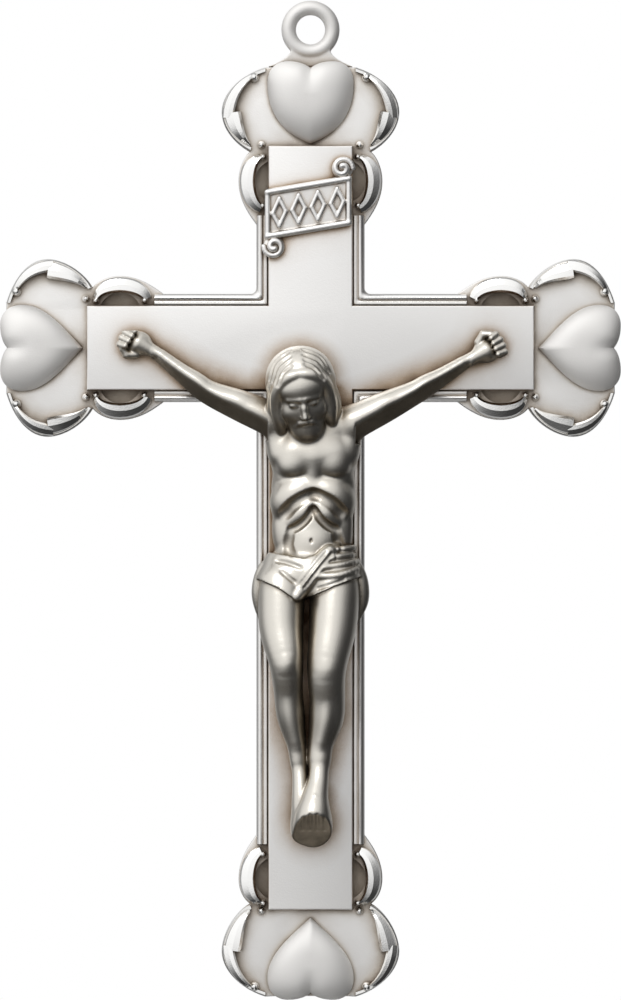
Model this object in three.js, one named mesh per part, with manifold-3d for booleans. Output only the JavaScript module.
// A hanging crucifix in silver, 50.8 mm high: a flat back plate with lobed ends, a raised plain cross, puffed
// hearts, bright-cut rims, a scroll, a cast figure held by three pins, and a ring to hang it from.
//
// The parts are laid out in plan, with x to the right, y up the cross and z the height above the back plate's
// rear face. The last lines stand the plan up: +Z is up, the front faces -Y, and the ring's centre is the origin.
import * as THREE from "three";
import { mergeVertices } from "three/addons/utils/BufferGeometryUtils.js";
import Module from "manifold-3d";

const wasm = await Module();
wasm.setup();

// Driving dimensions, in millimetres. Distances along the arms start at the crossing of the two bars.
const FACE_HALF = 2.15; // half the width of the raised cross
const EDGE = 0.6; // border of the back plate outside the raised cross
const TOP_REACH = 10.28;
const ARM_REACH = 11.38;
const FOOT_REACH = 28.58;
const EYE_ABOVE = 16.2; // the ring's centre above the crossing
const CORNER_FILLET = 0.3;

const PLATE = 1.0; // thickness of the back plate
const FACE = 0.45; // thickness of the raised cross
const POCKET = 0.3; // depth of the pockets inside the side lobes
const FILM = 0.02; // solder film between parts
const FACE_TOP = PLATE + FACE;
const BAR_HALF = FACE_HALF + EDGE;

const LOBE_OUT = 4.52; // reach of the large lobes from the bar's centre line
const SIDE_OUT = 3.66; // reach of the small lobes beside the bar
const SIDE_LENGTH = 2.2; // from a small lobe's crown to where it dies into the bar
const POCKET_R = 1.1;
const POCKET_OUT = 1.72;
const HEART_LENGTH = 4.2;
const HEART_RISE = 1.15;
const RIM_RISE = 0.62; // height of a rim's ridge above the plate
const BEAD_R = 0.21;
const BEAD_ALONG = 1.2; // a small lobe's beads, from its crown
const MOULDING_STOP = 1.75; // the mouldings stop this far short of a small lobe's crown

const RING_R = 1.11; // centre line of the hanging ring
const RING_WIRE = 0.37; // half the ring's wire thickness
const RING_PLANE = 0.55; // the ring's mid plane above the rear face
const PIN_R = 0.17;
const PIN_HEAD_R = 0.3;
const PIN_CLEARANCE = 0.03;
const PIN_TAIL = 0.05; // a pin's riveted end stops this far inside the rear face

const ROUND = 24; // segments of a full circle in plan

// Places along an end, from the raised cross's end outward: the crowns of the large and the small lobes, the
// plate's edge, and the heart's tip.
const ENDS = [
  { name: "top", turn: 0, reach: TOP_REACH, lobe: 1.72, side: -1.8, edge: 4.0, heart: 0.1 },
  { name: "left", turn: Math.PI / 2, reach: ARM_REACH, lobe: 2.0, side: -1.7, edge: 4.1, heart: 0.2 },
  { name: "bottom", turn: Math.PI, reach: FOOT_REACH, lobe: 2.1, side: -1.6, edge: 4.42, heart: 0.37 },
  { name: "right", turn: -Math.PI / 2, reach: ARM_REACH, lobe: 2.0, side: -1.7, edge: 4.1, heart: 0.2 },
];
const [TOP, ARM, FOOT] = ENDS;

const satin = { color: 0xd9d6d1, roughness: 0.45, metalness: 1.0 };
const bright = { color: 0xf2f1ee, roughness: 0.12, metalness: 1.0 };
const antique = { color: 0xb9b5ad, roughness: 0.32, metalness: 1.0 };

// Solids ------------------------------------------------------------------------------------------------------

function solid(geometry) {
  const bare = geometry.clone();
  bare.deleteAttribute("normal");
  bare.deleteAttribute("uv");
  const merged = mergeVertices(bare, 1e-5);
  return new wasm.Manifold(
    new wasm.Mesh({
      numProp: 3,
      vertProperties: new Float32Array(merged.attributes.position.array),
      triVerts: new Uint32Array(merged.index.array),
    }),
  );
}

function geometryOf(shape) {
  const { vertProperties, triVerts } = shape.getMesh();
  const geometry = new THREE.BufferGeometry();
  geometry.setAttribute("position", new THREE.BufferAttribute(vertProperties, 3));
  geometry.setIndex(new THREE.BufferAttribute(triVerts, 1));
  return geometry;
}

const joined = (shapes) => shapes.reduce((sum, shape) => sum.add(shape));

// A plan outline raised from height z0 to z1.
function slab(outline, z0, z1, bevel = 0) {
  const shape = outline instanceof THREE.Shape ? outline : new THREE.Shape(outline);
  const geometry = new THREE.ExtrudeGeometry(shape, {
    depth: z1 - z0 - 2 * bevel,
    curveSegments: 3,
    bevelEnabled: bevel > 0,
    bevelThickness: bevel,
    bevelSize: bevel,
    bevelOffset: -bevel,
    bevelSegments: 1,
  });
  return solid(geometry.translate(0, 0, z0 + bevel));
}

function box(x0, y0, z0, x1, y1, z1) {
  const geometry = new THREE.BoxGeometry(x1 - x0, y1 - y0, z1 - z0);
  return solid(geometry.translate((x0 + x1) / 2, (y0 + y1) / 2, (z0 + z1) / 2));
}

function disc(x, y, radius, z0, z1) {
  const geometry = new THREE.CylinderGeometry(radius, radius, z1 - z0, ROUND).rotateX(Math.PI / 2);
  return solid(geometry.translate(x, y, (z0 + z1) / 2));
}

function ball(x, y, z, rx, ry = rx, rz = rx, around = 10) {
  const geometry = new THREE.SphereGeometry(1, around, Math.round(around * 0.6));
  return solid(geometry.scale(rx, ry, rz).translate(x, y, z));
}

// A limb: the hull of a ball of radius ra at a and one of radius rb at b, as a turned profile.
function limb(a, b, ra, rb, around = 8) {
  const from = new THREE.Vector3(...a);
  const axis = new THREE.Vector3(...b).sub(from);
  const length = axis.length();
  const lean = Math.asin((ra - rb) / length);
  const profile = [];
  const arc = (centre, radius, start, end) => {
    for (let i = 0; i <= 3; i++) {
      const angle = start + ((end - start) * i) / 3;
      profile.push(new THREE.Vector2(radius * Math.cos(angle), centre + radius * Math.sin(angle)));
    }
  };
  arc(0, ra, -Math.PI / 2, lean);
  arc(length, rb, lean, Math.PI / 2);
  profile[0].x = 0;
  profile[profile.length - 1].x = 0;
  const turned = new THREE.LatheGeometry(profile, around);
  const stand = new THREE.Quaternion().setFromUnitVectors(new THREE.Vector3(0, 1, 0), axis.normalize());
  return solid(turned.applyQuaternion(stand).translate(...a));
}

// Puts a shape drawn at an end, with y pointing outward from the raised cross's end, where that end is.
function atEnd(end, shape) {
  const place = new THREE.Matrix4()
    .makeRotationZ(end.turn)
    .multiply(new THREE.Matrix4().makeTranslation(0, end.reach, 0));
  return shape.transform(place.elements);
}

const mirrored = (shape) => shape.mirror([1, 0, 0]);

// Back plate --------------------------------------------------------------------------------------------------

function heartOutline() {
  const heart = new THREE.Shape();
  heart.moveTo(0, 0);
  heart.bezierCurveTo(1.1, 1.05, 2.2, 1.9, 2.2, 3.1);
  heart.bezierCurveTo(2.2, 3.85, 1.7, HEART_LENGTH, 1.15, HEART_LENGTH);
  heart.bezierCurveTo(0.6, HEART_LENGTH, 0.2, 4.05, 0, 3.82);
  heart.bezierCurveTo(-0.2, 4.05, -0.6, HEART_LENGTH, -1.15, HEART_LENGTH);
  heart.bezierCurveTo(-1.7, HEART_LENGTH, -2.2, 3.85, -2.2, 3.1);
  heart.bezierCurveTo(-2.2, 1.9, -1.1, 1.05, 0, 0);
  return heart;
}

// The valley between a large lobe and the small one next to it.
const VALLEY = new THREE.Vector2(3.08, -0.3);

// Continues an outline round a small lobe, from where it leaves the bar to the valley.
function roundSideLobe(outline, end) {
  outline.bezierCurveTo(3.2, end.side - 1.6, SIDE_OUT, end.side - 0.9, SIDE_OUT, end.side);
  outline.bezierCurveTo(SIDE_OUT, end.side + 0.7, 3.35, -0.5, VALLEY.x, VALLEY.y);
}

// Continues an outline round a large lobe, from the valley to the heart.
function roundLargeLobe(outline, end) {
  outline.bezierCurveTo(3.9, 0.15, LOBE_OUT, end.lobe - 0.8, LOBE_OUT, end.lobe);
  outline.bezierCurveTo(LOBE_OUT, end.lobe + 0.95, 3.6, end.edge - 0.4, 2.3, end.edge);
}

function endPlate(end) {
  const half = new THREE.Shape();
  half.moveTo(-0.1, end.side - SIDE_LENGTH);
  half.lineTo(BAR_HALF, end.side - SIDE_LENGTH);
  roundSideLobe(half, end);
  roundLargeLobe(half, end);
  half.lineTo(-0.1, end.edge);
  const right = slab(half, 0, PLATE);
  const parts = [right, mirrored(right)];
  if (end.name !== "top") parts.push(slab(heartOutline(), 0, PLATE).translate([0, end.heart, 0]));
  return atEnd(end, joined(parts));
}

function pockets(end) {
  const bore = disc(POCKET_OUT, end.side, POCKET_R, PLATE - POCKET, PLATE + 1);
  const beside = box(FACE_HALF - 0.1, end.side - 2, 0, FACE_HALF + 2, end.side + 2, PLATE + 1);
  const pocket = bore.intersect(beside);
  return atEnd(end, joined([pocket, mirrored(pocket)]));
}

function insideCorner(sx, sy) {
  const x = sx * BAR_HALF;
  const y = sy * BAR_HALF;
  const block = box(Math.min(x, x + sx * CORNER_FILLET), Math.min(y, y + sy * CORNER_FILLET), 0,
    Math.max(x, x + sx * CORNER_FILLET), Math.max(y, y + sy * CORNER_FILLET), PLATE);
  return block.subtract(disc(x + sx * CORNER_FILLET, y + sy * CORNER_FILLET, CORNER_FILLET, -1, PLATE + 1));
}

const CORNERS = [[1, 1], [-1, 1], [-1, -1], [1, -1]];

function backPlate() {
  const upright = box(-BAR_HALF, -FOOT_REACH, 0, BAR_HALF, TOP_REACH, PLATE);
  const arms = box(-ARM_REACH, -BAR_HALF, 0, ARM_REACH, BAR_HALF, PLATE);
  const corners = CORNERS.map(([sx, sy]) => insideCorner(sx, sy));
  const plate = joined([upright, arms, ...corners, ...ENDS.map(endPlate)]);
  return plate.subtract(joined(ENDS.map(pockets)));
}

// Raised cross, hearts, rims and edge mouldings ---------------------------------------------------------------

function crossFace() {
  const h = FACE_HALF;
  const outline = [
    [h, h], [h, TOP_REACH], [-h, TOP_REACH], [-h, h], [-ARM_REACH, h], [-ARM_REACH, -h],
    [-h, -h], [-h, -FOOT_REACH], [h, -FOOT_REACH], [h, -h], [ARM_REACH, -h], [ARM_REACH, h],
  ];
  return slab(outline.map(([x, y]) => new THREE.Vector2(x, y)), PLATE + FILM, FACE_TOP, 0.06);
}

// A puffed heart: copies of its outline shrink towards the middle as they rise.
function heart() {
  const outline = heartOutline().getPoints(4);
  outline.pop();
  const middle = new THREE.Vector2(0, 2.5);
  const rings = [
    [1, 0], [1, 0.12], [0.9, 0.5], [0.65, 0.83], [0.3, 0.98],
  ];
  const positions = [];
  for (const [spread, rise] of rings) {
    for (const p of outline) {
      const q = middle.clone().lerp(p, spread);
      positions.push(q.x, q.y, rise * HEART_RISE);
    }
  }
  const count = outline.length;
  const bottom = positions.length / 3;
  positions.push(middle.x, middle.y, 0, middle.x, middle.y, HEART_RISE);
  const index = [];
  for (let i = 0; i < count; i++) {
    const next = (i + 1) % count;
    index.push(bottom, next, i);
    for (let r = 0; r < rings.length - 1; r++) {
      const [a, b] = [r * count + i, r * count + next];
      const [c, d] = [a + count, b + count];
      index.push(a, b, d, a, d, c);
    }
    const last = (rings.length - 1) * count;
    index.push(last + i, last + next, bottom + 1);
  }
  const geometry = new THREE.BufferGeometry();
  geometry.setAttribute("position", new THREE.Float32BufferAttribute(positions, 3));
  geometry.setIndex(index);
  return solid(geometry).translate([0, 0, PLATE + FILM]);
}

// A small domed bead that stands on the plate.
function bead(x, y, radius = BEAD_R) {
  const whole = ball(x, y, PLATE + FILM + 0.2, radius, radius, 0.3, 8);
  return whole.intersect(box(x - 1, y - 1, PLATE + FILM, x + 1, y + 1, PLATE + 2));
}

// The rim round one large lobe: a thin sole, a crescent beside the heart, and one beside the raised cross.
function endRim(end) {
  const y = (rise) => end.lobe - TOP.lobe + rise; // the notch between the crescents moves with the lobe's crown
  const sole = new THREE.Shape();
  sole.moveTo(2.36, 0.04);
  sole.lineTo(2.9, -0.14);
  sole.quadraticCurveTo(4.3, 0.6, LOBE_OUT - 0.08, end.lobe);
  sole.bezierCurveTo(LOBE_OUT - 0.08, end.lobe + 0.9, 3.5, end.edge - 0.5, 2.72, end.edge - 0.3);
  sole.lineTo(2.66, end.edge - 0.55);
  sole.quadraticCurveTo(3.6, y(2.6), 3.75, y(1.6));
  sole.lineTo(3.4, y(1.4));
  sole.quadraticCurveTo(3.4, 0.5, 2.4, 0.16);

  const outer = new THREE.Shape();
  outer.moveTo(2.95, end.edge - 0.5);
  outer.bezierCurveTo(3.5, end.edge - 0.7, LOBE_OUT - 0.12, end.lobe + 0.9, LOBE_OUT - 0.12, end.lobe);
  outer.lineTo(4.3, y(1.42));
  outer.lineTo(3.83, y(1.6));
  outer.quadraticCurveTo(3.75, y(2.5), 2.95, end.edge - 0.5);

  const inner = new THREE.Shape();
  inner.moveTo(3.42, y(1.42));
  inner.lineTo(3.85, y(1.45));
  inner.lineTo(4.28, y(1.24));
  inner.quadraticCurveTo(4.0, 0.55, 3.1, 0.06);
  inner.quadraticCurveTo(3.55, 0.7, 3.42, y(1.42));

  return joined([
    slab(sole, PLATE + FILM, PLATE + 0.2),
    slab(outer, PLATE + 0.1, PLATE + RIM_RISE),
    slab(inner, PLATE + 0.1, PLATE + RIM_RISE),
    bead(2.9, end.edge - 0.55, 0.25),
    bead(2.52, 0.06),
  ]);
}

// The rim round one small side lobe, with a bead where each end meets the raised cross.
function sideRim(end) {
  const band = new THREE.Shape();
  band.moveTo(2.75, end.side - 1.6);
  band.quadraticCurveTo(SIDE_OUT - 0.08, end.side - 0.9, SIDE_OUT - 0.08, end.side);
  band.quadraticCurveTo(SIDE_OUT - 0.08, end.side + 0.75, 2.85, end.side + 1.3);
  band.lineTo(2.4, end.side + 1.3);
  band.lineTo(2.4, end.side + 1.12);
  band.quadraticCurveTo(2.92, end.side + 0.7, 2.92, end.side);
  band.quadraticCurveTo(2.92, end.side - 0.7, 2.4, end.side - 1.12);
  band.lineTo(2.4, end.side - 1.4);
  return joined([
    slab(band, PLATE + FILM, PLATE + RIM_RISE),
    bead(FACE_HALF + 0.3, end.side + BEAD_ALONG),
    bead(FACE_HALF + 0.3, end.side - BEAD_ALONG),
  ]);
}

// Half-round edge moulding that runs from one bar, round an inside corner of the cross, along the other bar.
function edgeMoulding(sx, sy, alongArm, alongBar) {
  const near = FACE_HALF + 0.06;
  const far = BAR_HALF - 0.02;
  const outline = new THREE.Shape();
  outline.moveTo(near, near);
  outline.lineTo(alongArm, near);
  outline.lineTo(alongArm, far);
  outline.lineTo(far + CORNER_FILLET, far);
  outline.absarc(far + CORNER_FILLET, far + CORNER_FILLET, CORNER_FILLET, -Math.PI / 2, -Math.PI, true);
  outline.lineTo(far, alongBar);
  outline.lineTo(near, alongBar);
  let shape = slab(outline, PLATE + FILM, PLATE + 0.36, 0.14);
  if (sx < 0) shape = shape.mirror([1, 0, 0]);
  if (sy < 0) shape = shape.mirror([0, 1, 0]);
  return shape;
}

// Scroll ------------------------------------------------------------------------------------------------------

const SCROLL_SLOPE = 0.169;

function scroll() {
  const half = 2.16;
  const up = 1.25;
  const base = FACE_TOP + FILM;
  const strip = (y0, y1, z1) =>
    slab([
      new THREE.Vector2(-half, y0 - half * SCROLL_SLOPE), new THREE.Vector2(half, y0 + half * SCROLL_SLOPE),
      new THREE.Vector2(half, y1 + half * SCROLL_SLOPE), new THREE.Vector2(-half, y1 - half * SCROLL_SLOPE),
    ], base, z1);
  const button = [[0, 0], [0.6, 0], [0.64, 0.26], [0.52, 0.46], [0.36, 0.46], [0.22, 0.26], [0, 0.26]];
  const curl = (x, y) => {
    const profile = button.map(([r, z]) => new THREE.Vector2(r, z));
    return solid(new THREE.LatheGeometry(profile, 20).rotateX(Math.PI / 2)).translate([x, y, base]);
  };
  const whole = joined([
    strip(-up, up, base + 0.2),
    strip(up - 0.26, up, base + 0.42),
    strip(-up, -up + 0.26, base + 0.42),
    curl(1.8, 1.98),
    curl(-1.83, -1.97),
  ]);
  const above = box(-5, -5, base, 5, 5, base + 2);
  return whole.intersect(above).translate([-0.1, 7.13, 0]);
}

// Figure ------------------------------------------------------------------------------------------------------
// Points are [x, y, height above the raised cross].

const HEAD = [-0.42, -2.35, 1.85];
const SHOULDER = [2.15, -3.45, 0.85];
const PALMS = [[-8.72, 0.2], [8.92, -0.2]];
const FEET_PIN = [0.05, -22.9];

function arm(shoulder, elbow, wrist, palm) {
  return joined([
    limb(shoulder, elbow, 0.82, 0.48),
    limb(elbow, wrist, 0.5, 0.32),
    limb(wrist, palm, 0.32, 0.42),
    ball(palm[0], palm[1], palm[2] - 0.1, 0.66, 0.6, 0.5),
  ]);
}

function torso() {
  return joined([
    ball(0, -4.9, 0.75, 2.3, 2.1, 1.75, 12),
    ball(0, -7.2, 0.5, 2.05, 2.3, 1.6, 12),
    ball(-0.1, -9.6, 0.6, 1.95, 1.9, 1.5, 12),
    ball(-0.1, -11.2, 0.7, 2.55, 1.5, 1.7, 12),
    limb([-0.2, -3.6, 1.3], [...HEAD], 0.9, 0.9),
  ]);
}

function head() {
  return joined([
    ball(HEAD[0], HEAD[1] + 0.5, HEAD[2], 1.8, 1.8, 1.5, 12),
    ball(HEAD[0] + 0.25, HEAD[1] - 1.1, HEAD[2] + 0.35, 1.05, 1.2, 1.2, 12),
    limb([-1.6, -2.4, 1.5], [-1.35, -4.3, 1.6], 0.55, 0.35),
    limb([1.0, -2.4, 1.5], [1.2, -4.6, 1.6], 0.5, 0.35),
  ]);
}

// A leg through hip, thigh, knee, calf and ankle; each stop is [x, y, height, radius].
function leg(stops) {
  const between = stops.slice(1).map((to, i) => {
    const from = stops[i];
    return limb(from.slice(0, 3), to.slice(0, 3), from[3], to[3]);
  });
  return joined(between);
}

// One foot laid over the other; the toes end in a slope that faces down.
function feet() {
  const both = joined([
    limb([-0.56, -21.2, 0.9], [-0.42, -23.2, 1.35], 0.32, 0.46),
    limb([0.46, -21.1, 1.2], [0.25, -22.9, 1.85], 0.45, 0.56),
    limb([0.25, -22.9, 1.85], [0.1, -24.8, 1.9], 0.56, 0.8),
    ball(0.12, -24.2, 1.5, 1.0, 1.35, 1.3, 12),
  ]);
  return both.trimByPlane([0, 0.74, -0.67], -19.42);
}

function cloth() {
  return joined([
    ball(-0.05, -11.3, 0.55, 2.72, 1.6, 1.95, 12),
    limb([-2.3, -11.5, 0.5], [-2.55, -14.6, 0.3], 0.6, 0.35),
    limb([2.3, -11.5, 0.5], [2.45, -14.6, 0.3], 0.6, 0.35),
    limb([0.7, -10.6, 2.1], [-0.5, -12.4, 2.0], 0.4, 0.55),
  ]);
}

function figure() {
  const flesh = joined([
    torso(),
    head(),
    arm([-SHOULDER[0], SHOULDER[1], SHOULDER[2]], [-5.3, -1.95, 0.7], [-7.75, -0.35, 0.5], [...PALMS[0], 0.45]),
    arm(SHOULDER, [5.2, -2.05, 0.7], [7.95, -0.7, 0.5], [...PALMS[1], 0.45]),
    leg([[-1.48, -12, 0.95, 1.1], [-1.5, -14.4, 1.45, 1.0], [-1.3, -16.4, 1.95, 0.74], [-0.98, -18.3, 1.5, 0.6],
      [-0.56, -21.3, 0.9, 0.33]]),
    leg([[1.28, -12, 0.95, 1.15], [1.15, -14.4, 1.5, 1.1], [0.93, -16.4, 1.95, 0.9], [0.8, -18.3, 1.5, 0.75],
      [0.46, -21.2, 1.2, 0.44]]),
    feet(),
    cloth(),
  ]).translate([0, 0, FACE_TOP]);
  return flesh.intersect(box(-20, -30, FACE_TOP + FILM, 20, 10, FACE_TOP + 10));
}

// Pins --------------------------------------------------------------------------------------------------------

// A pin from a domed head at height `top`, through the figure, the raised cross and the back plate.
function pin([x, y], top) {
  const profile = [
    [0, PIN_TAIL], [PIN_R, PIN_TAIL], [PIN_R, top - 0.14],
    [PIN_HEAD_R, top - 0.12], [PIN_HEAD_R * 0.75, top], [0, top + 0.04],
  ].map(([r, z]) => new THREE.Vector2(r, z));
  return solid(new THREE.LatheGeometry(profile, 14).rotateX(Math.PI / 2)).translate([x, y, 0]);
}

// The hole that a pin leaves, with room for its head where it sits in the figure.
function pinHole([x, y], top) {
  const shank = disc(x, y, PIN_R + PIN_CLEARANCE, -1, top);
  const seat = disc(x, y, PIN_HEAD_R + PIN_CLEARANCE, top - 0.16, top + 5);
  return joined([shank, seat]);
}

const PINS = [
  { name: "pin_left_hand", at: PALMS[0], top: FACE_TOP + 0.86 },
  { name: "pin_right_hand", at: PALMS[1], top: FACE_TOP + 0.86 },
  { name: "pin_feet", at: FEET_PIN, top: FACE_TOP + 2.2 },
];

// Hanging ring ------------------------------------------------------------------------------------------------

// A closed ring on a flared foot that is soldered to the back plate's top edge.
function hangingRing() {
  const plateTop = TOP.reach + TOP.edge;
  const footTop = EYE_ABOVE - RING_R;
  const foot = new THREE.Shape();
  foot.moveTo(-2.35, plateTop + FILM);
  foot.lineTo(2.35, plateTop + FILM);
  foot.quadraticCurveTo(1.35, plateTop + 0.35, 1.1, footTop + 0.3);
  foot.lineTo(-1.1, footTop + 0.3);
  foot.quadraticCurveTo(-1.35, plateTop + 0.35, -2.35, plateTop + FILM);
  const ring = solid(new THREE.TorusGeometry(RING_R, RING_WIRE, 8, ROUND).translate(0, EYE_ABOVE, RING_PLANE));
  const web = slab(foot, RING_PLANE - 0.34, RING_PLANE + 0.25);
  const eye = disc(0, EYE_ABOVE, RING_R - 0.1, -1, 3);
  const below = box(-3, plateTop - 3, -1, 3, plateTop + FILM, 3);
  return ring.add(web.subtract(eye)).subtract(below);
}

// Assembly ----------------------------------------------------------------------------------------------------

const plan = new THREE.Group();

function place(name, shape, look) {
  const mesh = new THREE.Mesh(geometryOf(shape), new THREE.MeshStandardMaterial(look));
  mesh.name = name;
  plan.add(mesh);
}

const holes = joined(PINS.map(({ at, top }) => pinHole(at, top)));

place("back_plate", backPlate().subtract(holes), satin);
place("cross_face", crossFace().subtract(holes), satin);
place("figure", figure().subtract(holes), antique);
place("scroll", scroll(), satin);
place("hanging_ring", hangingRing(), satin);
for (const { name, at, top } of PINS) place(name, pin(at, top), antique);

for (const end of ENDS) {
  place(`heart_${end.name}`, atEnd(end, heart().translate([0, end.heart, 0])), satin);
  const rim = endRim(end);
  const lobe = sideRim(end);
  place(`end_rim_${end.name}_a`, atEnd(end, mirrored(rim)), bright);
  place(`end_rim_${end.name}_b`, atEnd(end, rim), bright);
  place(`side_rim_${end.name}_a`, atEnd(end, mirrored(lobe)), bright);
  place(`side_rim_${end.name}_b`, atEnd(end, lobe), bright);
}

const mouldingReach = (end) => end.reach + end.side - MOULDING_STOP;
for (const [sx, sy] of CORNERS) {
  const name = `edge_moulding_${sy > 0 ? "upper" : "lower"}_${sx > 0 ? "right" : "left"}`;
  place(name, edgeMoulding(sx, sy, mouldingReach(ARM), mouldingReach(sy > 0 ? TOP : FOOT)), satin);
}

plan.rotation.x = Math.PI / 2;
plan.position.set(0, RING_PLANE, -EYE_ABOVE);

const crucifix = new THREE.Group();
crucifix.add(plan);

export default crucifix;
